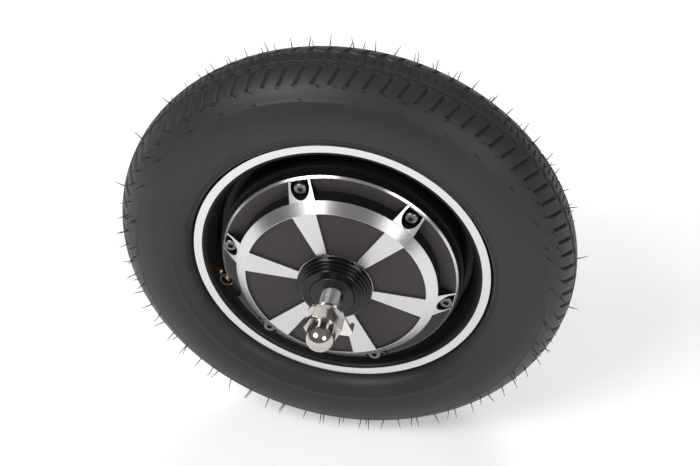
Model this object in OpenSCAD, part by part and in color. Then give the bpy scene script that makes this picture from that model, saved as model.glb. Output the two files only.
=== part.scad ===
// Direct-drive hub motor wheel. The axle lies along Y with +Z up, and the origin is on
// the axle axis at the tyre's centre plane. The near side, with the dome nut, faces -Y.
// The far side, with the hex nut and the motor cable, faces +Y.

/* [Tyre and rim] */
// Tyre section centre radius
tyre_mid_r = 100; // [98:0.5:101]
// Tyre section half width
tyre_half_w = 27; // [25:0.5:28]
// Rim lip outer radius
lip_r = 82.5; // [82:0.1:83]
// Lip plane distance from the tyre's centre plane
lip_y = 18.5; // [18:0.1:19]

/* [Covers] */
// Cover outer wall radius
cover_r = 65.5; // [65.2:0.1:65.8]
// Front of the outer ledge from the centre plane
ledge_y = 23; // [22.7:0.1:23.3]
// Foot radius of the conical band
band_foot_r = 55.6; // [55.2:0.1:56]
// Front radius of the conical band
band_front_r = 49.9; // [49.5:0.1:50.3]
// Front of the band's foot from the centre plane
band_foot_y = 30.9; // [30.5:0.1:31.3]
// Disc face from the centre plane
disc_y = 35.3; // [35.1:0.1:35.3]
// Pocket depth in the disc face
pocket_depth = 1.3; // [0.8:0.1:1.6]
// Angular width of a spoke
spoke_angle = 15.7; // [12:0.1:18]
// Angle of the first spoke
first_spoke = 46.5; // [0:0.5:360]
// Screw circle radius
screw_circle_r = 60.5; // [60:0.1:60.8]

/* [Axle] */
// Width across the axle flats
flats_w = 10; // [9.5:0.1:10.5]
// Front of the dropout shoulder
shoulder_y = 44.1; // [44:0.1:44.3]
// Space left for the dropout plate
dropout_t = 16.5; // [16.1:0.1:16.9]

/* [Motor] */
// Stator outer radius
stator_r = 48.3; // [48:0.1:48.4]
// Half length of the stator stack
stack_half = 12.5; // [12:0.1:13]

/* [Hidden] */
$fn = 96;
NODES = ["tyre", "inner_tube", "valve_stem", "valve_core",
  "rim_shell", "flux_ring", "rotor_magnets",
  "near_cover", "far_cover", "near_cover_screws", "far_cover_screws",
  "near_cover_seal", "far_cover_seal", "near_dust_cap", "far_dust_cap",
  "near_shaft_seal", "far_shaft_seal",
  "near_bearing_outer_race", "far_bearing_outer_race",
  "near_bearing_shields", "far_bearing_shields",
  "near_bearing_inner_race", "far_bearing_inner_race",
  "near_bearing_balls", "far_bearing_balls",
  "near_bearing_cage", "far_bearing_cage",
  "axle", "axle_key", "stator_carrier", "stator_core", "slot_liners", "windings",
  "hall_board", "hall_sensors", "phase_leads",
  "near_spacer", "far_spacer", "near_tab_washer", "far_tab_washer",
  "dome_nut", "hex_nut", "motor_cable", "cable_grommet", "cable_plug"];
node = "all";
gap = 0.01; // between faces that would touch, or overlap where they join

// Frame and patterns: local +Z is the wheel's -Y, local XY is its XZ
module on_axle() { rotate([90, 0, 0]) children(); }
module on_far_side() { on_axle() mirror([0, 0, 1]) children(); }
module both_sides() {
  children();
  mirror([0, 0, 1]) children();
}
module around(count, start = 0) {
  for (i = [0:count - 1]) rotate(start + i * 360 / count) children();
}
module ring(outer_r, inner_r, from, to) {
  translate([0, 0, from]) difference() {
    cylinder(r = outer_r, h = to - from);
    translate([0, 0, -1]) cylinder(r = inner_r, h = to - from + 2);
  }
}
function arc(radius, from, to) =
  [for (i = [0:16]) let (a = from + (to - from) * i / 16) radius * [cos(a), sin(a)]];
module sector(inner_r, outer_r, angle) {
  polygon(concat(arc(outer_r, -angle / 2, angle / 2), arc(inner_r, angle / 2, -angle / 2)));
}
function mirrored(points) = [for (p = points) [p.x, -p.y]];
function reversed(points) = [for (i = [len(points) - 1:-1:0]) points[i]];

// Tyre and tube. Section points are [radius, distance from the centre plane].
tyre_half_h = 27;
crown_t = 4.4;
sidewall_t = 4;
tube_gap = 0.4;
tube_t = 1.6;
bead_r = 78.15;

// elliptical arc about the section centre, from angle +reach to -reach
function section_arc(half_h, half_w, reach, steps) =
  [for (i = [0:steps]) let (a = reach - 2 * reach * i / steps)
    [tyre_mid_r + half_h * cos(a), half_w * sin(a)]];

// from the near bead along the inside, then back along the outside
module tyre_section() {
  bead = [[bead_r, lip_y - 3.6], [bead_r, 10.6], [82.4, 9.4], [85.8, 13.6]];
  // the side wall tucks in under the lip
  tuck = [for (a = [0:10:60]) [lip_r + 0.8 + 10 * (1 - cos(a)), lip_y - 3.1 + 10.2 * sin(a)]];
  polygon(concat(
    bead,
    section_arc(tyre_half_h - crown_t, tyre_half_w - sidewall_t, 128, 44),
    mirrored(reversed(bead)),
    mirrored(tuck),
    section_arc(tyre_half_h, tyre_half_w, -112, 56),
    reversed(tuck)));
}
module tyre() { color([0.2, 0.19, 0.2]) on_axle() rotate_extrude($fn = 180) tyre_section(); }

// the tube fills the tyre and closes over the rim's well
module tube_section(inset) {
  well = [
    [86.5 + 0.9 * inset, 13.4 - 0.47 * inset],
    [83 + 0.75 * inset, 8.7 - 0.69 * inset],
    [76 + inset, 5.2 - 0.55 * inset]];
  polygon(concat(
    section_arc(tyre_half_h - crown_t - tube_gap - inset,
      tyre_half_w - sidewall_t - tube_gap - inset, 124, 40),
    mirrored(well),
    reversed(well)));
}
module inner_tube() {
  color([0.1, 0.1, 0.1]) on_axle() difference() {
    rotate_extrude() difference() {
      tube_section(0);
      tube_section(tube_t);
    }
    at_valve_tip(17.5) cylinder(r = valve_r + 0.05, h = 8);
  }
}

// Valve. It is straight, about 42 degrees from the axle. Its tip points inwards on the
// near side and ends in a notch in the cover. Local z runs from the tip to the tube.
valve_angle = 193;
valve_r = 1.5;
valve_bore_r = 0.75;
valve_len = 23.5;
valve_groove_r = valve_r - 0.18;
valve_pitch = 0.8;
module at_valve_tip(z = 0) {
  rotate(valve_angle) translate([64.8, 0, 21.6]) rotate([0, 137.7, 0])
    translate([0, 0, z]) children();
}
module valve_stem() {
  color([0.8, 0.6, 0.3]) on_axle() at_valve_tip() rotate_extrude($fn = 48) polygon(concat(
    [[valve_bore_r, 0], [valve_r - 0.2, 0]],
    [for (i = [0:9]) let (z = i * valve_pitch) each [
      [valve_r, z + 0.4], [valve_r, z + 0.7],
      [valve_groove_r, z + 0.9], [valve_groove_r, z + 1]]],
    [[valve_r, 8.6], [valve_r, valve_len], [valve_bore_r, valve_len]]));
}
module valve_core() {
  color("gold") on_axle() at_valve_tip() union() {
    translate([0, 0, 1.2]) cylinder(r = 0.65, h = 8, $fn = 32);
    translate([0, 0, 0.2]) cylinder(r = 0.35, h = 1.5, $fn = 24);
  }
}

// Rim, flux ring and magnets
shell_y = 16.5;
flux_r = 56.5;
magnet_r = 52;
poles = 30;
seal_inner_r = 57.05;
seal_outer_r = 58.05;
screw_r = 2;
spokes = 6;
module at_screws(z) { around(spokes, first_spoke) translate([screw_circle_r, 0, z]) children(); }

// one side of the rim, [radius, distance from the centre plane]; web_y is the web's face
function rim_half(web_y) = let (bore_r = flux_r + 0.05, groove_y = shell_y - 1.15) [
  [bore_r, shell_y], [seal_inner_r - 0.05, shell_y], [seal_inner_r - 0.05, groove_y],
  [seal_outer_r + 0.05, groove_y], [seal_outer_r + 0.05, shell_y],
  [67.5, shell_y], [67.5, shell_y - 2], [66.8, shell_y - 2.6],
  [66.4, web_y], [70.5, web_y], [72, 7], [75.2, 12.5], [75.8, 17.6],
  [76.6, lip_y], [lip_r, lip_y], [lip_r, lip_y - 2.7], [78, lip_y - 3.3],
  [77.9, 10], [75, 6.5]];
module rim_shell() {
  color([0.15, 0.15, 0.16]) on_axle() difference() {
    rotate_extrude($fn = 180) polygon(concat(mirrored(rim_half(4)), reversed(rim_half(1))));
    both_sides() at_screws(shell_y - 9) cylinder(r = screw_r + 0.05, h = 12, $fn = 32);
    at_valve_tip(10) cylinder(r = valve_r + 0.1, h = 12, $fn = 48);
    // clearance where the stem crosses the shell's shoulder
    at_valve_tip(-4) cylinder(r = 2.2, h = 15, $fn = 48);
  }
}
module flux_ring() { color("dimgray") on_axle() ring(flux_r, magnet_r + 0.05, -14, 14); }
module rotor_magnets() {
  magnet_len = 27;
  color("silver") on_axle() translate([0, 0, -magnet_len / 2]) around(poles)
    linear_extrude(magnet_len) sector(49.05, magnet_r, 360 / poles - 1.2);
}

// Bearing sizes, shared by the covers and the axle
bearing_in_y = 22.5;
bearing_out_y = 33.5;
bearing_mid_y = (bearing_in_y + bearing_out_y) / 2;
bearing_bore_r = 7.5;
bearing_r = 17.5;
race_t = 3.1;
ball_r = 3;
pitch_r = (bearing_bore_r + bearing_r) / 2;

// Covers and their screws
floor_y = 19.5;
seat_y = floor_y + 3;

// block round a screw, narrowing outwards
module rib_outline() {
  polygon([[band_foot_r - 2, -7.6], [cover_r, -6], [cover_r, 6], [band_foot_r - 2, 7.6]]);
}
// round-ended pocket that leaves a thin rib on either side
module rib_pocket() {
  translate([61.3, 0]) circle(r = 5.3);
  translate([61.3, -5]) square([5, 10]);
}
module cover_body() {
  rotate_extrude($fn = 180) polygon([
    [14.6, bearing_out_y], [14.6, disc_y], [band_front_r, disc_y],
    [band_foot_r, band_foot_y], [band_foot_r + 0.2, ledge_y],
    [cover_r - 1.1, ledge_y], [cover_r, ledge_y - 1.1],
    [cover_r, shell_y + gap], [52.9, shell_y + gap], [52.6, 28], [48.3, 32],
    [20.7, 32], [20.7, bearing_in_y],
    [bearing_r + gap, bearing_in_y], [bearing_r + gap, bearing_out_y]]);
}
module cover_ribs() {
  rib_r = cover_r - 0.9;
  inner_r = band_foot_r - 1.4;
  top_y = band_foot_y - 0.3;
  around(spokes, first_spoke) intersection() {
    translate([0, 0, floor_y]) linear_extrude(13) rib_outline();
    // ends a little way down the chamfer, off its upper edge
    rotate_extrude() polygon([[inner_r, floor_y], [rib_r, floor_y],
      [rib_r, ledge_y + 0.3], [band_foot_r + 0.2, top_y], [inner_r, top_y]]);
  }
}
// side cover, drawn for the near side
module cover_solid() {
  difference() {
    union() {
      difference() {
        union() {
          cover_body();
          cover_ribs();
        }
        around(spokes, first_spoke) intersection() {
          translate([0, 0, floor_y]) linear_extrude(16) rib_pocket();
          cylinder(r = cover_r - 1.2, h = 60);
        }
      }
      // screw seats
      at_screws(floor_y - 1) cylinder(r = 3.9, h = 4);
    }
    // pockets between the spokes
    around(spokes, first_spoke + 180 / spokes) translate([0, 0, disc_y - pocket_depth])
      linear_extrude(5) sector(21, band_front_r - 0.2, 360 / spokes - spoke_angle);
    at_screws(0) cylinder(r = screw_r + 0.15, h = 60, $fn = 32);
  }
}
module valve_eye(radius, from, to) {
  rotate(valve_angle - 0.4) translate([65.9, 0, from])
    cylinder(r = radius, h = to - from, $fn = 64);
}
// window in the outer wall beside the valve's end, [radial, sideways]
valve_window = [
  [61.3, -5.9], [61.3, 3.2], [61.6, 4.4], [62.4, 5.3], [63.5, 5.9],
  [64.8, 6.2], [68, 6.2], [68, -5.9]];
module near_cover() {
  color([0.4, 0.38, 0.4]) on_axle() difference() {
    union() {
      difference() {
        cover_solid();
        rotate(valve_angle + 5.6) translate([0, 0, shell_y - 1])
          linear_extrude(9) polygon(valve_window);
      }
      // round lip about the valve's end
      valve_eye(4.05, 19.4, ledge_y - 0.1);
    }
    valve_eye(3.2, shell_y - 1, 30);
  }
}
module far_cover() { color([0.4, 0.38, 0.4]) on_far_side() cover_solid(); }

module cover_screws() {
  head_h = 4;
  socket_w = 3;
  at_screws(0) difference() {
    union() {
      translate([0, 0, seat_y + gap]) rotate_extrude($fn = 48)
        polygon([[0, 0], [3.5, 0], [3.5, head_h - 0.4], [3.1, head_h], [0, head_h]]);
      translate([0, 0, floor_y - 8]) cylinder(r = screw_r, h = 12, $fn = 32);
    }
    translate([0, 0, seat_y + 2]) rotate(30)
      cylinder(r = socket_w / 2 / cos(30), h = 4, $fn = 6);
  }
}
module near_cover_screws() { color("gray") on_axle() cover_screws(); }
module far_cover_screws() { color("gray") on_far_side() cover_screws(); }

// Seals and dust caps
cap_bore_r = 12.3;
cap_front_y = 43.25;
spacer_r = 9.5;
module cover_seal() { ring(seal_outer_r, seal_inner_r, shell_y - 1.1, shell_y - gap); }
module near_cover_seal() { color("black") on_axle() cover_seal(); }
module far_cover_seal() { color("black") on_far_side() cover_seal(); }
// stepped cap, [radius, distance from the centre plane]
module dust_cap() {
  rotate_extrude() polygon([
    [cap_bore_r, disc_y + gap], [20.7, disc_y + gap], [20.7, 37.9], [20.3, 38.3],
    [19.4, 38.3], [19.4, 39.6], [19, 39.9], [18.2, 39.9], [18.2, 41.3], [17.8, 41.6],
    [16.9, 41.6], [16.9, 42.9], [16.5, cap_front_y], [cap_bore_r, cap_front_y]]);
}
module near_dust_cap() { color([0.05, 0.05, 0.05]) on_axle() dust_cap(); }
module far_dust_cap() { color([0.05, 0.05, 0.05]) on_far_side() dust_cap(); }
module shaft_seal() { ring(cap_bore_r - 0.05, spacer_r + 0.05, 36, 40.5); }
module near_shaft_seal() { color("black") on_axle() shaft_seal(); }
module far_shaft_seal() { color("black") on_far_side() shaft_seal(); }

// Bearings
module race(inner_r) {
  width = bearing_out_y - bearing_in_y;
  translate([0, 0, bearing_mid_y]) rotate_extrude() difference() {
    translate([inner_r, -width / 2]) square([race_t, width]);
    translate([pitch_r, 0]) circle(r = ball_r + 0.03);
  }
}
module outer_race() { race(bearing_r - race_t); }
module inner_race() { race(bearing_bore_r); }
module shields() {
  for (z = [bearing_in_y + 0.4, bearing_out_y - 0.8])
    ring(bearing_r - race_t - 0.02, bearing_bore_r + race_t + 0.1, z, z + 0.4);
}
module balls(extra = 0) {
  around(8) translate([pitch_r, 0, bearing_mid_y]) sphere(r = ball_r + extra, $fn = 48);
}
module cage() {
  difference() {
    ring(pitch_r + 0.9, pitch_r - 0.9, bearing_mid_y - 3.8, bearing_mid_y + 3.8);
    balls(0.1);
  }
}
module near_bearing_outer_race() { color("silver") on_axle() outer_race(); }
module far_bearing_outer_race() { color("silver") on_far_side() outer_race(); }
module near_bearing_inner_race() { color("silver") on_axle() inner_race(); }
module far_bearing_inner_race() { color("silver") on_far_side() inner_race(); }
module near_bearing_shields() { color("gray") on_axle() shields(); }
module far_bearing_shields() { color("gray") on_far_side() shields(); }
module near_bearing_balls() { color("white") on_axle() balls(); }
module far_bearing_balls() { color("white") on_far_side() balls(); }
module near_bearing_cage() { color("tan") on_axle() cage(); }
module far_bearing_cage() { color("tan") on_far_side() cage(); }

// Axle. The threads are separate rings, one per pitch.
axle_r = 11;
axle_end_y = 76.6;
thread_r = 6;
thread_pitch = 1.25;
lead_z = -20;
function thread(from, count) = let (crest = thread_r - 0.02, root = thread_r - 0.6)
  [for (i = [0:count - 1]) let (z = from + i * thread_pitch)
    each [[crest, z], [crest, z + 0.35], [root, z + 0.75], [root, z + 0.9]]];
module half_axle() {
  journal_r = bearing_bore_r - gap;
  rotate_extrude() polygon(concat(
    [[0, 0], [axle_r, 0], [axle_r, bearing_in_y], [journal_r, bearing_in_y],
      [journal_r, 36], [thread_r - 0.02, 36]],
    thread(37, 31),
    [[thread_r - 0.02, axle_end_y - 0.8], [5.2, axle_end_y], [0, axle_end_y]]));
}
module axle() {
  color("silver") on_axle() difference() {
    intersection() {
      union() {
        cylinder(r = axle_r, h = 2 * bearing_in_y, center = true);
        both_sides() half_axle();
      }
      // round in the middle, flats towards both ends
      union() {
        cylinder(r = 12, h = 78, center = true);
        cube([flats_w, 30, 170], center = true);
      }
    }
    // bore from the far end, and the cross hole into it
    translate([0, 0, -85]) cylinder(r = 3.2, h = 67, $fn = 48);
    translate([0, 0, lead_z]) rotate([0, 90, 0]) cylinder(r = 2.2, h = 20, $fn = 48);
    // key slot
    translate([-2, 8.5, -9]) cube([4, 5, 18]);
  }
}
module axle_key() {
  color("gray") on_axle() translate([-1.95, 8.55, -8.9]) cube([3.9, 4.9, 17.8]);
}

// Stator
slots = 27;
carrier_r = 31.9;
tooth_w = 4;
stack_len = 2 * stack_half;
liner_w = 4.7;
liner_h = stack_len + 1.4;
loop_fit = 0.04;
module stator_carrier() {
  color("lightgray") on_axle() difference() {
    union() {
      ring(16, axle_r + 0.02, -10, 10);
      ring(carrier_r, 29, -10, 10);
      around(6) translate([15, -3, -8]) cube([14.8, 6, 16]);
    }
    translate([-2.02, 8, -11]) cube([4.04, 5.6, 22]);
  }
}
module stator_core() {
  color("slategray") on_axle() translate([0, 0, -stack_half]) linear_extrude(stack_len)
    difference() {
      union() {
        circle(r = 36.5);
        around(slots) translate([36, -tooth_w / 2]) square([11, tooth_w]);
        around(slots) sector(46.4, stator_r, 360 / slots - 3);
      }
      circle(r = carrier_r + 0.05);
    }
}
// rectangular loop around each tooth; inner and outer are [width, height]
module tooth_loops(inner, outer, from, to) {
  around(slots) translate([from, 0, 0]) rotate([90, 0, 90]) linear_extrude(to - from)
    difference() {
      square(outer, center = true);
      square(inner, center = true);
    }
}
module slot_liners() {
  color("ivory") on_axle()
    tooth_loops([tooth_w + loop_fit, stack_len + loop_fit], [liner_w, liner_h], 37, 46);
}
module windings() {
  color([0.7, 0.35, 0.15]) on_axle()
    tooth_loops([liner_w + loop_fit, liner_h + loop_fit], [8.2, stack_len + 8], 37.4, 45.8);
}
module hall_board() {
  color("darkgreen") on_axle() translate([0, 0, -19.2]) linear_extrude(1.6) sector(33, 47, 90);
}
module hall_sensors() {
  color("black") on_axle() for (a = [-26.7, 0, 26.7])
    rotate(a) translate([43, -2, -21]) cube([3, 4, 1.7]);
}
module phase_leads() {
  color("orange") on_axle() for (i = [-1, 0, 1])
    translate([4.2, i * 1.25, lead_z]) rotate([0, 90, 0]) cylinder(r = 0.55, h = 28, $fn = 24);
}

// Spacers, washers and nuts
washer_t = 1.8;
washer_y = shoulder_y + dropout_t;
nut_y = washer_y + washer_t;
module spacer() {
  bore_r = thread_r + 0.05;
  step_r = bearing_bore_r + 0.05;
  rotate_extrude() polygon([
    [bore_r, 36.1], [step_r, 36.1], [step_r, bearing_out_y + gap],
    [spacer_r, bearing_out_y + gap], [spacer_r, 41.4], [12, 41.4],
    [12, shoulder_y - 0.3], [11.7, shoulder_y], [bore_r, shoulder_y]]);
}
module near_spacer() { color([0.1, 0.1, 0.1]) on_axle() spacer(); }
module far_spacer() { color([0.1, 0.1, 0.1]) on_far_side() spacer(); }
// the tab is bent back towards the wheel
module tab_washer() {
  radius = 10.5;
  tab_r = 16.4;
  tab_w = 3.4;
  root = radius * [cos(48), sin(48)];
  rotate(-36) difference() {
    union() {
      translate([0, 0, washer_y + gap]) linear_extrude(washer_t - 2 * gap) union() {
        circle(r = radius);
        polygon([root, [tab_r, tab_w / 2], [tab_r, -tab_w / 2], [root.x, -root.y]]);
      }
      translate([tab_r - washer_t, -tab_w / 2, washer_y - 5]) cube([washer_t, tab_w, 6]);
    }
    translate([0, 0, washer_y - 8]) cylinder(r = thread_r + 0.15, h = 20);
  }
}
module near_tab_washer() { color("silver") on_axle() tab_washer(); }
module far_tab_washer() { color("silver") on_far_side() tab_washer(); }
module hex_blank(height) {
  intersection() {
    cylinder(r = 9 / cos(30), h = height, $fn = 6);
    rotate_extrude()
      polygon([[0, 0], [9.3, 0], [10.5, 0.7], [10.5, height - 0.9], [9, height], [0, height]]);
  }
}
module nut_bore(height) { translate([0, 0, -1]) cylinder(r = thread_r + 0.05, h = height); }
module dome_nut() {
  dome_r = 7.85;
  color("white") on_axle() translate([0, 0, nut_y]) difference() {
    union() {
      hex_blank(8.6);
      translate([0, 0, 8]) cylinder(r = dome_r, h = 6.3);
      translate([0, 0, 14.3]) sphere(r = dome_r);
    }
    nut_bore(16);
  }
}
module hex_nut() {
  color("silver") on_far_side() translate([0, 0, nut_y]) difference() {
    hex_blank(10);
    nut_bore(20);
  }
}

// Cable, drawn in the wheel's frame. It leaves the far end, then bends towards +X.
cable_r = 2.9;
bend_r = 18;
bend_y = 88;
cable_out_y = bend_y + bend_r;
module motor_cable() {
  start_y = 24;
  color([0.1, 0.1, 0.1]) union() {
    translate([0, start_y, 0]) rotate([-90, 0, 0])
      cylinder(r = cable_r, h = bend_y - start_y + gap, $fn = 48);
    translate([bend_r, bend_y, 0]) rotate(90)
      rotate_extrude(angle = 90) translate([bend_r, 0]) circle(r = cable_r, $fn = 48);
    translate([bend_r - gap, cable_out_y, 0]) rotate([0, 90, 0])
      cylinder(r = cable_r, h = 40, $fn = 48);
  }
}
module cable_grommet() {
  bore_r = cable_r + 0.05;
  color("black") on_far_side() translate([0, 0, axle_end_y + 0.05]) rotate_extrude($fn = 64)
    polygon([[bore_r, 0], [4.9, 0], [4.9, 1.6], [4.3, 2.2], [3.9, 6], [bore_r, 6]]);
}
module cable_plug() {
  color([0.15, 0.15, 0.15]) translate([0, cable_out_y, 0]) rotate([0, 90, 0]) difference() {
    union() {
      translate([0, 0, 58.02]) cylinder(r = 6, h = 22);
      for (z = [61:2.5:71]) translate([0, 0, z]) cylinder(r = 6.5, h = 1.2);
    }
    translate([0, 0, 72]) cylinder(r = 4.8, h = 20);
  }
}

function shown(name) = node == "all" || node == name;
if (shown("tyre")) tyre();
if (shown("inner_tube")) inner_tube();
if (shown("valve_stem")) valve_stem();
if (shown("valve_core")) valve_core();
if (shown("rim_shell")) rim_shell();
if (shown("flux_ring")) flux_ring();
if (shown("rotor_magnets")) rotor_magnets();
if (shown("near_cover")) near_cover();
if (shown("far_cover")) far_cover();
if (shown("near_cover_screws")) near_cover_screws();
if (shown("far_cover_screws")) far_cover_screws();
if (shown("near_cover_seal")) near_cover_seal();
if (shown("far_cover_seal")) far_cover_seal();
if (shown("near_dust_cap")) near_dust_cap();
if (shown("far_dust_cap")) far_dust_cap();
if (shown("near_shaft_seal")) near_shaft_seal();
if (shown("far_shaft_seal")) far_shaft_seal();
if (shown("near_bearing_outer_race")) near_bearing_outer_race();
if (shown("far_bearing_outer_race")) far_bearing_outer_race();
if (shown("near_bearing_shields")) near_bearing_shields();
if (shown("far_bearing_shields")) far_bearing_shields();
if (shown("near_bearing_inner_race")) near_bearing_inner_race();
if (shown("far_bearing_inner_race")) far_bearing_inner_race();
if (shown("near_bearing_balls")) near_bearing_balls();
if (shown("far_bearing_balls")) far_bearing_balls();
if (shown("near_bearing_cage")) near_bearing_cage();
if (shown("far_bearing_cage")) far_bearing_cage();
if (shown("axle")) axle();
if (shown("axle_key")) axle_key();
if (shown("stator_carrier")) stator_carrier();
if (shown("stator_core")) stator_core();
if (shown("slot_liners")) slot_liners();
if (shown("windings")) windings();
if (shown("hall_board")) hall_board();
if (shown("hall_sensors")) hall_sensors();
if (shown("phase_leads")) phase_leads();
if (shown("near_spacer")) near_spacer();
if (shown("far_spacer")) far_spacer();
if (shown("near_tab_washer")) near_tab_washer();
if (shown("far_tab_washer")) far_tab_washer();
if (shown("dome_nut")) dome_nut();
if (shown("hex_nut")) hex_nut();
if (shown("motor_cable")) motor_cable();
if (shown("cable_grommet")) cable_grommet();
if (shown("cable_plug")) cable_plug();
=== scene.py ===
"""A hub-motor scooter wheel with a moulded rubber tyre, standing upright on a white floor.

The axle lies along Y through the origin and Z is up. The camera looks from -Y and above.
Lengths called mm, and all tyre dimensions, are millimetres; everything else is metres.
"""
import math
import random
from functools import reduce

import bmesh
import bpy
import numpy as np
from mathutils import Matrix, Vector


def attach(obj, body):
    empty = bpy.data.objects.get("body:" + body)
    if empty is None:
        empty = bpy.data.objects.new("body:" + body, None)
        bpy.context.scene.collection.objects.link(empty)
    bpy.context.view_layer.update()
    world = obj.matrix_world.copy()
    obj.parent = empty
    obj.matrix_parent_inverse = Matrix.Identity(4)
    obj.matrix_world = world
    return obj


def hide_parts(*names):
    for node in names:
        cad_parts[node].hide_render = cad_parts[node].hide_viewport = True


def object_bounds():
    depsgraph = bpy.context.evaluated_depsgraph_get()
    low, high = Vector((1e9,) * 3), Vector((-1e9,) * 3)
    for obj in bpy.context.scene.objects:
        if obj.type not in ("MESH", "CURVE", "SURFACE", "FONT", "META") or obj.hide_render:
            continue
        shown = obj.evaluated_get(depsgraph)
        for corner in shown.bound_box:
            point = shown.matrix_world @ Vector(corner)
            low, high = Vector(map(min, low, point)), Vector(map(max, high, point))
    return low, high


def bounding_box():
    return [list(map(float, corner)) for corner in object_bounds()]


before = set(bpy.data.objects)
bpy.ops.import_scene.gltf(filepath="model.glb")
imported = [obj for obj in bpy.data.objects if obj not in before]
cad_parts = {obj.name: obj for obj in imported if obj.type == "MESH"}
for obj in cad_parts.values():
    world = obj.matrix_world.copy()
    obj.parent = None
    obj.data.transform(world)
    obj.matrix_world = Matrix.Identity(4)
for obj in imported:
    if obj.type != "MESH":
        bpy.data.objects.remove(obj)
CAD_BOX = bounding_box()
MM = 0.001


# ---------------------------------------------------------------- node helpers
class Nodes:
    """Builds the node tree of a material or world, `owner`."""

    def __init__(self, owner, output="ShaderNodeOutputMaterial"):
        self.owner = owner
        owner.use_nodes = True
        self.tree = owner.node_tree
        self.tree.nodes.clear()
        self.output = self.new(output)
        self.coords = self.new("ShaderNodeTexCoord").outputs

    def new(self, kind, **props):
        node = self.tree.nodes.new(kind)
        for name, value in props.items():
            setattr(node, name, value)
        return node

    def put(self, socket, value):
        """Link a socket, or set its value; a colour gets alpha 1."""
        if isinstance(value, bpy.types.NodeSocket):
            self.tree.links.new(value, socket)
        elif isinstance(value, (tuple, list)) and len(value) == 3 and socket.type == "RGBA":
            socket.default_value = (*value, 1)
        else:
            socket.default_value = value

    def fill(self, node, values):
        """Put `values`, a dict from input index or name to value."""
        for key, value in values.items():
            self.put(node.inputs[key], value)
        return node.outputs

    def math(self, operation, a, b=0.0, c=0.0):
        node = self.new("ShaderNodeMath", operation=operation)
        return self.fill(node, {0: a, 1: b, 2: c})[0]

    def weighted(self, a, weight_a, b, weight_b):
        return self.math("ADD", self.math("MULTIPLY", a, weight_a),
                         self.math("MULTIPLY", b, weight_b))

    def xyz(self, vector=None):
        node = self.new("ShaderNodeSeparateXYZ")
        return self.fill(node, {0: vector or self.coords["Object"]})

    def vector(self, x=0.0, y=0.0, z=0.0):
        return self.fill(self.new("ShaderNodeCombineXYZ"), {0: x, 1: y, 2: z})[0]

    def radius(self):
        """Distance from the axle."""
        x, _, z = self.xyz()
        return self.math("SQRT", self.math("ADD", self.math("MULTIPLY", x, x),
                                           self.math("MULTIPLY", z, z)))

    def angle(self):
        """Angle round the axle."""
        x, _, z = self.xyz()
        return self.math("ARCTAN2", z, x)

    def from_middle(self):
        """Distance along the axle from the wheel's middle plane."""
        return self.math("ABSOLUTE", self.xyz()[1])

    def step(self, value, start, end):
        """Soft step: 0 at start, 1 at end, in either direction."""
        node = self.new("ShaderNodeMapRange", interpolation_type="SMOOTHSTEP")
        return self.fill(node, {0: value, 1: start, 2: end, 3: 0.0, 4: 1.0})[0]

    def within(self, *limits):
        """Product of soft steps; a limit is (value, start in mm, end in mm)."""
        steps = [self.step(value, start * MM, end * MM) for value, start, end in limits]
        return reduce(lambda a, b: self.math("MULTIPLY", a, b), steps)

    def either(self, a, b):
        return self.math("MAXIMUM", a, b)

    def noise(self, scale, detail=4.0, rough=0.55, vector=None):
        node = self.new("ShaderNodeTexNoise")
        return self.fill(node, {"Vector": vector or self.coords["Object"], "Scale": scale,
                                "Detail": detail, "Roughness": rough})["Fac"]

    def mix(self, factor, a, b):
        return self.fill(self.new("ShaderNodeMix", data_type="RGBA"), {0: factor, 6: a, 7: b})[2]

    def shade(self, factor, colour, gain):
        """From a colour to the same colour times `gain`."""
        return self.mix(factor, colour, tuple(c * gain for c in colour))

    def lerp(self, factor, a, b):
        return self.fill(self.new("ShaderNodeMix", data_type="FLOAT"), {0: factor, 2: a, 3: b})[0]

    def spread(self, factor, value, below=0.0, above=0.0):
        """From value - below to value + above."""
        return self.lerp(factor, value - below, value + above)

    def bump(self, height, strength, distance=0.00006, bevel=0.0):
        """Bumped normal, with edges rounded in the shading to radius `bevel`."""
        node = self.new("ShaderNodeBump")
        values = {"Strength": strength, "Distance": distance, "Height": height}
        if bevel:
            rounded = self.new("ShaderNodeBevel", samples=4)
            values["Normal"] = self.fill(rounded, {"Radius": bevel})[0]
        return self.fill(node, values)[0]

    def bsdf(self, **inputs):
        node = self.new("ShaderNodeBsdfPrincipled")
        return self.fill(node, {name.replace("_", " "): v for name, v in inputs.items()})[0]

    def blend(self, factor, a, b):
        return self.fill(self.new("ShaderNodeMixShader"), {0: factor, 1: a, 2: b})[0]

    def finish(self, shader):
        self.put(self.output.inputs[0], shader)
        return self.owner


def material(name):
    return Nodes(bpy.data.materials.new(name))


# -------------------------------------------------------------- shared coatings
MARKS_PER_METRE = 1400.0  # noise scale of the turning marks across the radius
MARKS_PER_RADIAN = 1.6  # and along the ring, where they hardly change


def machined(mat, bevel=0.0003, tint=(0.67, 0.665, 0.67), rough=0.24, grain=0.035, stretch=0.6):
    """Lathe-turned aluminium: the shine is stretched across the marks circling the axle."""
    radius = mat.radius()
    x, _, z = mat.xyz()
    outward = mat.new("ShaderNodeVectorMath", operation="NORMALIZE")
    tangent = mat.fill(outward, {0: mat.vector(x=x, z=z)})[0]
    ring = mat.vector(x=mat.math("MULTIPLY", radius, MARKS_PER_METRE),
                      y=mat.math("MULTIPLY", mat.angle(), MARKS_PER_RADIAN))
    marks = mat.noise(scale=1.0, detail=3, rough=0.6, vector=ring)
    height = mat.math("MULTIPLY", marks, 1.0)
    return mat.bsdf(
        Base_Color=mat.shade(marks, tint, gain=0.93), Metallic=1.0,
        Roughness=mat.spread(marks, rough, below=0.03, above=0.05),
        Anisotropic=stretch, Tangent=tangent,
        Normal=mat.bump(height, strength=grain, bevel=bevel))


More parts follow.
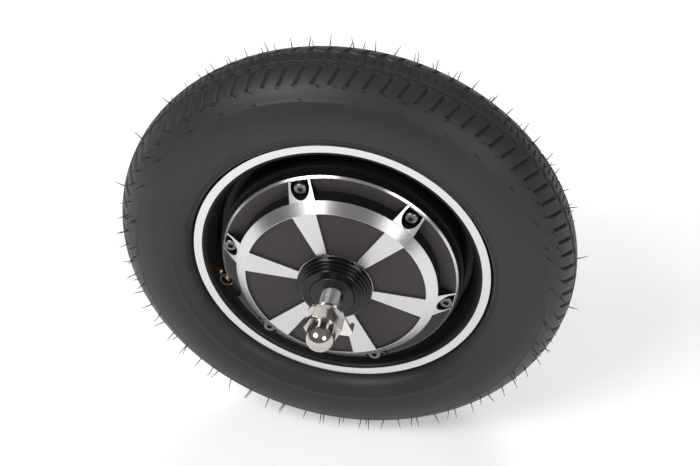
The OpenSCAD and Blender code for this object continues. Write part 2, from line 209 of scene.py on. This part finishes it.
def paint(mat, base, rough=0.5, bevel=0.0004, grain=0.12, specular=0.3):
    """Satin powder coat: orange peel, a fine grain, slightly uneven tone."""
    peel = mat.noise(scale=1500, detail=2)
    fine = mat.noise(scale=5200, detail=2)
    height = mat.weighted(peel, 0.7, fine, 0.3)
    return mat.bsdf(
        Base_Color=mat.shade(mat.noise(scale=60), base, gain=1.14),
        Roughness=mat.spread(mat.noise(scale=120), rough, below=0.05, above=0.07),
        Specular_IOR_Level=specular, Normal=mat.bump(height, strength=grain, bevel=bevel))


# ------------------------------------------------------------------- materials
# The rib tops fall in a straight line from the band's foot to the ledge.
RIB_FOOT_RADIUS, RIB_FOOT_OUT = 55.8 * MM, 30.6 * MM
RIB_SLOPE = -7.3 / 8.8


def cover():
    """Painted side cover with machined bands."""
    mat = material("cover")
    radius = mat.radius()
    out = mat.from_middle()
    face = mat.within((out, 34.9, 35.1))
    cone = mat.within((out, 30.7, 30.85), (radius, 49.75, 49.85))
    # on the 45 degree chamfer round the outer edge, out + radius is constant
    slope = mat.math("ADD", out, radius)
    chamfer = mat.within((slope, 87.26, 87.33), (radius, 64.3, 64.42),
                         (radius, 65.64, 65.56), (slope, 87.56, 87.48))
    line = mat.math("MULTIPLY_ADD", mat.math("SUBTRACT", radius, RIB_FOOT_RADIUS),
                    RIB_SLOPE, RIB_FOOT_OUT)
    rib = mat.within((mat.math("SUBTRACT", out, line), -0.2, -0.1),
                     (radius, 55.4, 55.55), (radius, 64.8, 64.7))
    bare = mat.either(mat.either(face, cone), mat.either(chamfer, rib))
    # upright walls and the screw pockets get near-black paint: painted shade for the shadow these
    # faces fall in; elsewhere the grey paint
    geometry = mat.new("ShaderNodeNewGeometry")
    facing = mat.math("ABSOLUTE", mat.xyz(geometry.outputs["True Normal"])[1])
    outside_painted_shade = mat.math("MULTIPLY", mat.step(facing, start=0.55, end=0.8),
                    mat.within((out, 22.55, 22.75)))
    outside_painted_shade = mat.either(outside_painted_shade, mat.within((radius, 53, 52.5)))
    coat = mat.blend(outside_painted_shade, paint(mat, base=(0.0065, 0.006, 0.0065), rough=0.4),
                     paint(mat, base=(0.036, 0.030, 0.0365)))
    return mat.finish(mat.blend(bare, coat, machined(mat)))


def rim():
    """Painted rim with a machined lip."""
    mat = material("rim")
    radius = mat.radius()
    lip = mat.within((mat.from_middle(), 18.35, 18.42), (radius, 77.9, 78.0))
    # the flat faces (beside the lip, and under the cover) are painted darker than the well:
    # painted shade for the deep gaps between lip, cover and shell
    shared = dict(rough=0.36, bevel=0.0005, grain=0.1)
    well = paint(mat, base=(0.03, 0.0255, 0.027), specular=0.22, **shared)
    painted_shade_coat = paint(mat, base=(0.009, 0.008, 0.009), specular=0.16, **shared)
    faces = mat.either(mat.within((radius, 76.0, 76.4)), mat.within((radius, 67.9, 67.6)))
    bright = machined(mat, bevel=0.0002, tint=(0.74, 0.735, 0.74), rough=0.17, grain=0.02,
                      stretch=0.0)
    return mat.finish(mat.blend(lip, mat.blend(faces, well, painted_shade_coat), bright))


def rubber(name, base, rough, dusty=False):
    mat = material(name)
    cloud = mat.noise(scale=38, detail=5)
    speck = mat.noise(scale=2600, detail=2)
    mould = mat.noise(scale=700, detail=3)
    colour = mat.shade(cloud, base, gain=1.25)
    if dusty:
        dust = mat.step(mat.noise(scale=22, detail=6, rough=0.62), start=0.5, end=0.75)
        amount = 0.12
        colour = mat.mix(mat.math("MULTIPLY", dust, amount), colour, (0.075, 0.068, 0.064))
    height = mat.weighted(speck, 0.45, mould, 0.55)
    return mat.finish(mat.bsdf(
        Base_Color=colour, Roughness=mat.spread(cloud, rough, below=0.08, above=0.1),
        Specular_IOR_Level=0.33, Normal=mat.bump(height, strength=0.16, distance=0.00008)))


def chrome(name, tint, rough):
    """Smooth bright metal with faint scratches."""
    mat = material(name)
    waves = mat.noise(scale=160, detail=3)
    scratches = mat.noise(scale=3000, detail=2)
    return mat.finish(mat.bsdf(
        Base_Color=mat.shade(waves, tint, gain=0.94), Metallic=1.0,
        Roughness=mat.spread(scratches, rough, above=0.07),
        Normal=mat.bump(waves, strength=0.05, bevel=0.0004)))


def steel(name, tint=(0.56, 0.56, 0.57), rough=0.34):
    """Duller metal with fine lathe grooves along the axle."""
    mat = material(name)
    groove_pitch = 0.0003
    lathe = mat.math("SINE", mat.math("MULTIPLY", mat.xyz()[1], 2 * math.pi / groove_pitch))
    cloud = mat.noise(scale=240)
    return mat.finish(mat.bsdf(
        Base_Color=mat.shade(cloud, tint, gain=0.8), Metallic=1.0,
        Roughness=mat.spread(cloud, rough, below=0.06, above=0.1),
        Normal=mat.bump(lathe, strength=0.08, distance=0.00002, bevel=0.0002)))


def gloss(name, base=(0.004, 0.0038, 0.0042), rough=0.12):
    mat = material(name)
    cloud = mat.noise(scale=300, detail=3)
    return mat.finish(mat.bsdf(
        Base_Color=mat.shade(cloud, base, gain=1.8),
        Roughness=mat.spread(cloud, rough, above=0.1), Specular_IOR_Level=0.36,
        Normal=mat.bump(cloud, strength=0.1, distance=0.00008, bevel=0.0004)))


def plastic(name, base, rough=0.5):
    mat = material(name)
    grain = mat.noise(scale=1800, detail=2)
    return mat.finish(mat.bsdf(
        Base_Color=mat.shade(mat.noise(scale=70), base, gain=1.3), Roughness=rough,
        Normal=mat.bump(grain, strength=0.18, bevel=0.0004)))


def brass(name):
    mat = material(name)
    cloud = mat.noise(scale=420, detail=3)
    return mat.finish(mat.bsdf(
        Base_Color=mat.mix(cloud, (0.74, 0.5, 0.27), (0.62, 0.36, 0.17)), Metallic=1.0,
        Roughness=mat.lerp(cloud, a=0.24, b=0.4),
        Normal=mat.bump(cloud, strength=0.1, bevel=0.0002)))


def dress_cad():
    """Give every CAD piece its material; pieces not listed get the axle's steel."""
    table = [  # material, names of the pieces that wear it
        (cover(), "near_cover far_cover"),
        (rim(), "rim_shell"),
        # the nut's darker, warmer tint is a painted reflection of the dark swing-arm, which is
        # left out
        (chrome("nut_chrome", tint=(0.52, 0.495, 0.465), rough=0.08), "dome_nut hex_nut"),
        (chrome("washer_zinc", tint=(0.8, 0.79, 0.775), rough=0.2),
         "near_tab_washer far_tab_washer"),
        (steel("steel"), "axle axle_key"),
        (gloss("boss_gloss"), "near_dust_cap far_dust_cap"),
        (gloss("spacer_black", base=(0.012, 0.012, 0.012), rough=0.28), "near_spacer far_spacer"),
        (brass("valve_brass"), "valve_stem valve_core"),
        (steel("screw_black_zinc", tint=(0.2, 0.195, 0.2), rough=0.3),
         "near_cover_screws far_cover_screws"),
        (rubber("cable_sheath", base=(0.016, 0.016, 0.016), rough=0.42), "motor_cable"),
        (plastic("plug_plastic", base=(0.02, 0.02, 0.021), rough=0.45),
         "cable_plug cable_grommet hall_sensors"),
        (rubber("tube_rubber", base=(0.02, 0.02, 0.02), rough=0.6),
         "inner_tube near_cover_seal far_cover_seal near_shaft_seal far_shaft_seal tyre"),
        (chrome("copper", tint=(0.75, 0.33, 0.14), rough=0.25), "windings"),
        (plastic("board", base=(0.02, 0.12, 0.05), rough=0.35), "hall_board"),
        (plastic("liner", base=(0.7, 0.64, 0.48)), "slot_liners"),
        (plastic("lead", base=(0.7, 0.3, 0.03), rough=0.45), "phase_leads"),
        (plastic("cage", base=(0.4, 0.3, 0.18)), "near_bearing_cage far_bearing_cage"),
        (chrome("magnet", tint=(0.62, 0.62, 0.64), rough=0.25), "rotor_magnets"),
        (steel("lamination", tint=(0.35, 0.35, 0.37), rough=0.4), "stator_core flux_ring"),
        (steel("carrier", tint=(0.68, 0.68, 0.7), rough=0.36), "stator_carrier"),
    ]
    by_piece = {piece: look for look, pieces in table for piece in pieces.split()}
    for piece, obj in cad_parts.items():
        obj.data.materials.clear()
        obj.data.materials.append(by_piece.get(piece, by_piece["axle"]))


# --------------------------------------------------------------------- objects
def add_object(name, data):
    obj = bpy.data.objects.new(name, data)
    bpy.context.scene.collection.objects.link(obj)
    return obj


def smooth_object(name, verts, faces, look):
    mesh = bpy.data.meshes.new(name)
    mesh.from_pydata([tuple(v) for v in verts], [], faces)
    mesh.update()
    mesh.shade_smooth()
    mesh.materials.append(look)
    return add_object(name, mesh)


# ------------------------------------------------------------------ tyre, in mm
# The section is an arc; places on it are degrees from the crown, positive towards +Y.
SECTION_RADIUS = 100.0  # from the axle to the section's centre
HALF_WIDTH = 27.0
CASING_HEIGHT, CASING_HALF_WIDTH = 22.6, 23.0  # half axes of the casing's inside
PITCHES = 84  # repeats of the tread pattern
ROWS_PER_PITCH = 18
TREAD_STEP = 0.62  # degrees between columns on the tread
WALL_STEP = 2.0  # and on the side walls
FINE_EDGE, OUTER_EDGE = 46, 112  # where the fine columns and the outside end
TREAD_EDGE = 42  # no tread is cut beyond this

GROOVE_DEPTH, SIPE_DEPTH = 1.5, 0.7
GROOVE_OFFSET, GROOVE_REACH, GROOVE_ZIGZAG = 5.2, 1.35, 0.55

# raised rings on the side walls: degrees, width in degrees, height
RINGS = ((104, 2.6, 0.55), (97, 1.0, 0.22), (94, 1.0, 0.22), (58, 1.6, 0.35))

# round the +Y bead, from the side wall to the inside: radius, y
BEAD = [(82.6, 15.1), (79.2, 14.9), (78.3, 14.0), (78.2, 11.4), (79.0, 10.6), (82.3, 9.7),
        (85.6, 13.6)]


def smoothstep(x, start, end):
    t = np.clip((x - start) / (end - start), 0, 1)
    return t * t * (3 - 2 * t)


def tread_depth(angle, pitch):
    """Depth cut below the smooth tyre; pitch is the place in the repeat, 0 to 1."""
    away = np.abs(angle)
    across = np.radians(angle) * HALF_WIDTH

    def groove(centre):
        return 1 - smoothstep(np.abs(across - centre), GROOVE_REACH * 0.55, GROOVE_REACH)

    zigzag = GROOVE_ZIGZAG * np.sin(2 * np.pi * pitch)
    depth = GROOVE_DEPTH * np.maximum(groove(GROOVE_OFFSET + zigzag),
                                      groove(-GROOVE_OFFSET + zigzag))
    # slanted cuts between shoulder blocks, fading out before the smooth shoulder
    lean = np.mod(pitch + np.sign(angle) * 0.02 * (away - 14), 1.0)
    cut = 1 - smoothstep(np.abs(lean - 0.5), 0.075, 0.115)
    shoulder = smoothstep(away, 14.5, 16) * (1 - smoothstep(away, 35, 39))
    depth = np.maximum(depth, GROOVE_DEPTH * cut * shoulder)
    # short sipes across the centre rib, two to a pitch
    sipe = 1 - smoothstep(np.abs(np.mod(pitch * 2, 1.0) - 0.5), 0.05, 0.09)
    sipe = sipe * (1 - smoothstep(np.abs(across), 1.9, 2.6))
    return np.maximum(depth, SIPE_DEPTH * sipe)


def inside_profile():
    """(radius, y) round the beads and the casing's inside, from +Y to -Y."""
    # the side wall tucks in under the lip, then closes round the bead
    tuck = [(83.3 + 10 * (1 - math.cos(math.radians(t))), 15.4 + 10.2 * math.sin(math.radians(t)))
            for t in range(66, -1, -6)]
    bead = tuck + BEAD
    t = np.radians(np.arange(128, -128.1, -6.4))
    casing = zip(SECTION_RADIUS + CASING_HEIGHT * np.cos(t), CASING_HALF_WIDTH * np.sin(t))
    return bead + list(casing) + [(r, -y) for r, y in reversed(bead)]


def build_tyre():
    rows = PITCHES * ROWS_PER_PITCH
    turn = np.arange(rows) * 2 * np.pi / rows
    pitch = np.mod(np.arange(rows) / ROWS_PER_PITCH, 1.0)

    def ring(radius, y):
        return np.stack([radius * np.cos(turn), np.broadcast_to(y, rows),
                         radius * np.sin(turn)], 1)

    columns = []
    for angle in np.concatenate([np.arange(-OUTER_EDGE, -FINE_EDGE, WALL_STEP),
                                 np.arange(-FINE_EDGE, FINE_EDGE, TREAD_STEP),
                                 np.arange(FINE_EDGE, OUTER_EDGE + 0.1, WALL_STEP)]):
        reach = HALF_WIDTH + sum(height * np.exp(-(((abs(angle) - centre) / width) ** 2))
                                 for centre, width, height in RINGS)
        if abs(angle) < TREAD_EDGE:
            reach = reach - tread_depth(np.full(rows, angle), pitch)
        t = math.radians(angle)
        columns.append(ring(SECTION_RADIUS + reach * math.cos(t), reach * math.sin(t)))
    columns += [ring(radius, y) for radius, y in inside_profile()]
    verts = np.stack(columns, 1)

    here = np.arange(rows * len(columns)).reshape(rows, len(columns))
    next_row = np.roll(here, -1, 0)
    faces = np.stack([here, np.roll(here, -1, 1), np.roll(next_row, -1, 1), next_row], -1)
    look = rubber("tyre_rubber", base=(0.0235, 0.0202, 0.0226), rough=0.46, dusty=True)
    tyre = smooth_object("tyre_moulded", verts.reshape(-1, 3) * MM,
                         faces.reshape(-1, 4).tolist(), look)
    bm = bmesh.new()
    bm.from_mesh(tyre.data)
    bmesh.ops.recalc_face_normals(bm, faces=bm.faces)
    bm.to_mesh(tyre.data)
    bm.free()
    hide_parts("tyre")
    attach(tyre, "wheel")


# rows of hairs: degrees from the crown, hairs in the row
HAIR_ROWS = [(41, 66), (55, 30), (-41, 66), (-55, 30), (0.0, 24)]
TWIN_CHANCE, TWIN_OFFSET, TWIN_LENGTH = 0.18, 0.9, 0.56  # offset in degrees, share of length
HAIR_RADIUS, HAIR_TAPER, HAIR_ROOT = 0.34, 0.6, 0.3  # taper is a share; root depth sunk in
HAIR_RINGS, HAIR_SIDES = 5, 6


def add_hair(verts, faces, rng, turn, angle, scale):
    """One tapered, bent hair; `turn` is its place round the wheel, in radians."""
    radial = Vector((math.cos(turn), 0, math.sin(turn)))
    side = Vector((-math.sin(turn), 0, math.cos(turn)))
    normal = (radial * math.cos(angle) + Vector((0, math.sin(angle), 0))).normalized()
    base = (radial * (SECTION_RADIUS + HALF_WIDTH * math.cos(angle))
            + Vector((0, HALF_WIDTH * math.sin(angle), 0)))
    direction = (normal + side * rng.uniform(-0.35, 0.35)
                 + Vector((0, rng.uniform(-0.15, 0.15), 0))).normalized()
    length = rng.uniform(5.5, 6.5) * scale
    bend = rng.uniform(-0.8, 0.8)
    u = direction.orthogonal().normalized()
    v = direction.cross(u)
    first = len(verts)
    for j in range(HAIR_RINGS):
        f = j / (HAIR_RINGS - 1)
        middle = base - normal * HAIR_ROOT + direction * (length * f) + side * (bend * f * f)
        radius = HAIR_RADIUS * (1 - HAIR_TAPER * f)
        for m in range(HAIR_SIDES):
            w = 2 * math.pi * m / HAIR_SIDES
            verts.append((middle + (u * math.cos(w) + v * math.sin(w)) * radius) * MM)
    last = first + (HAIR_RINGS - 1) * HAIR_SIDES
    for low in range(first, last, HAIR_SIDES):
        high = low + HAIR_SIDES
        for m in range(HAIR_SIDES):
            n = (m + 1) % HAIR_SIDES
            faces.append((low + m, low + n, high + n, high + m))
    faces.append(tuple(first + m for m in reversed(range(HAIR_SIDES))))
    faces.append(tuple(last + m for m in range(HAIR_SIDES)))


def build_hairs():
    """Vent spews left by the mould: thin rubber hairs in rows, some with a short twin."""
    rng = random.Random(11)
    verts, faces = [], []
    for row_angle, count in HAIR_ROWS:
        for i in range(count):
            for offset in ((0, TWIN_OFFSET) if rng.random() < TWIN_CHANCE else (0,)):
                turn = (2 * math.pi * (i + rng.uniform(-0.16, 0.16)) / count
                        + math.radians(offset))
                angle = math.radians(row_angle + rng.uniform(-1.2, 1.2))
                add_hair(verts, faces, rng, turn, angle, TWIN_LENGTH if offset else 1)
    look = rubber("hair_rubber", base=(0.02, 0.019, 0.02), rough=0.5)
    hairs = smooth_object("vent_hairs", verts, faces, look)
    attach(hairs, "wheel")


# ----------------------------------------------------------------------- stage
def floor():
    """White disc under the wheel's lowest point, glowing a little."""
    mat = material("floor")
    look = mat.finish(mat.bsdf(
        Base_Color=mat.mix(mat.noise(scale=14), (0.8, 0.8, 0.8), (0.77, 0.77, 0.77)),
        Roughness=0.7, Specular_IOR_Level=0.2,
        Emission_Color=(1, 1, 1), Emission_Strength=0.34))
    bm = bmesh.new()
    bmesh.ops.create_circle(bm, cap_ends=True, segments=96, radius=12.0,
                            matrix=Matrix.Translation((0, 0, CAD_BOX[0][2])))
    mesh = bpy.data.meshes.new("floor")
    bm.to_mesh(mesh)
    bm.free()
    mesh.materials.append(look)
    add_object("floor", mesh)


def area(name, place, size, watts, target=(0, 0, 0), colour=(1, 1, 1), mirrored=True):
    """Area light aimed at `target`; `mirrored` lets it show in reflections."""
    light = bpy.data.lights.new(name, "AREA")
    light.shape = "RECTANGLE"
    light.size, light.size_y = size
    light.energy = watts
    light.color = colour
    lamp = add_object(name, light)
    lamp.location = place
    lamp.visible_glossy = mirrored
    aim = Vector(target) - Vector(place)
    lamp.rotation_euler = aim.to_track_quat("-Z", "Y").to_euler()


def lights():
    area("key", place=(-0.9, -1.0, 1.5), size=(1.1, 0.9), watts=27, colour=(1, 0.995, 0.985))
    area("fill", place=(1.4, -1.2, 0.9), size=(0.9, 0.9), watts=11)
    area("back", place=(0.1, 1.3, 1.5), target=(0, 0.1, 0), size=(1.6, 0.8), watts=17,
         mirrored=False)


def studio():
    """Objects are lit by a vertical gradient; the camera itself sees plain white."""
    world = bpy.data.worlds.new("studio")
    bpy.context.scene.world = world
    sky = Nodes(world, "ShaderNodeOutputWorld")
    height = sky.xyz(sky.coords["Generated"])[2]
    zero_to_one = sky.fill(sky.new("ShaderNodeMapRange"), {0: height, 1: -1, 2: 1})[0]
    ramp = sky.new("ShaderNodeValToRGB")
    stops = ramp.color_ramp.elements
    stops[0].color = (0.8, 0.8, 0.8, 1)  # straight down
    stops[1].color = (0.24, 0.235, 0.23, 1)  # straight up
    for position, level in ((0.5, 0.15), (0.72, 0.2), (0.9, 0.28)):
        stops.new(position).color = (level, level * 0.97, level * 0.95, 1)
    colour = sky.fill(ramp, {0: zero_to_one})[0]
    gradient = sky.fill(sky.new("ShaderNodeBackground"), {0: colour})[0]
    white = sky.fill(sky.new("ShaderNodeBackground"), {0: (0.93, 0.93, 0.93)})[0]
    seen = sky.new("ShaderNodeLightPath").outputs["Is Camera Ray"]
    sky.finish(sky.blend(seen, gradient, white))
    bpy.context.scene.view_settings.view_transform = "Standard"


CAMERA_PLACE = (0.213, -0.8943, 0.7929)
CAMERA_TURN, CAMERA_RISE, CAMERA_ROLL = 13.28, 40.53, -3.96  # degrees


def camera():
    """Looks down at the wheel from -Y, a little to +X, with the whole wheel in frame."""
    turn, rise, roll = (math.radians(a) for a in (CAMERA_TURN, CAMERA_RISE, CAMERA_ROLL))
    back = Vector((math.sin(turn) * math.cos(rise), -math.cos(turn) * math.cos(rise),
                   math.sin(rise)))
    right = Vector((math.cos(turn), math.sin(turn), 0))
    up = back.cross(right)
    x = right * math.cos(roll) + up * math.sin(roll)
    y = up * math.cos(roll) - right * math.sin(roll)
    lens = bpy.data.cameras.new("camera")
    lens.lens, lens.sensor_width = 113.1, 36.0
    lens.clip_start, lens.clip_end = 0.01, 50
    view = add_object("camera", lens)
    axes = Matrix((x, y, back)).transposed().to_4x4()
    view.matrix_world = Matrix.Translation(CAMERA_PLACE) @ axes
    bpy.context.scene.camera = view


dress_cad()
build_tyre()
build_hairs()
floor()
lights()
studio()
camera()
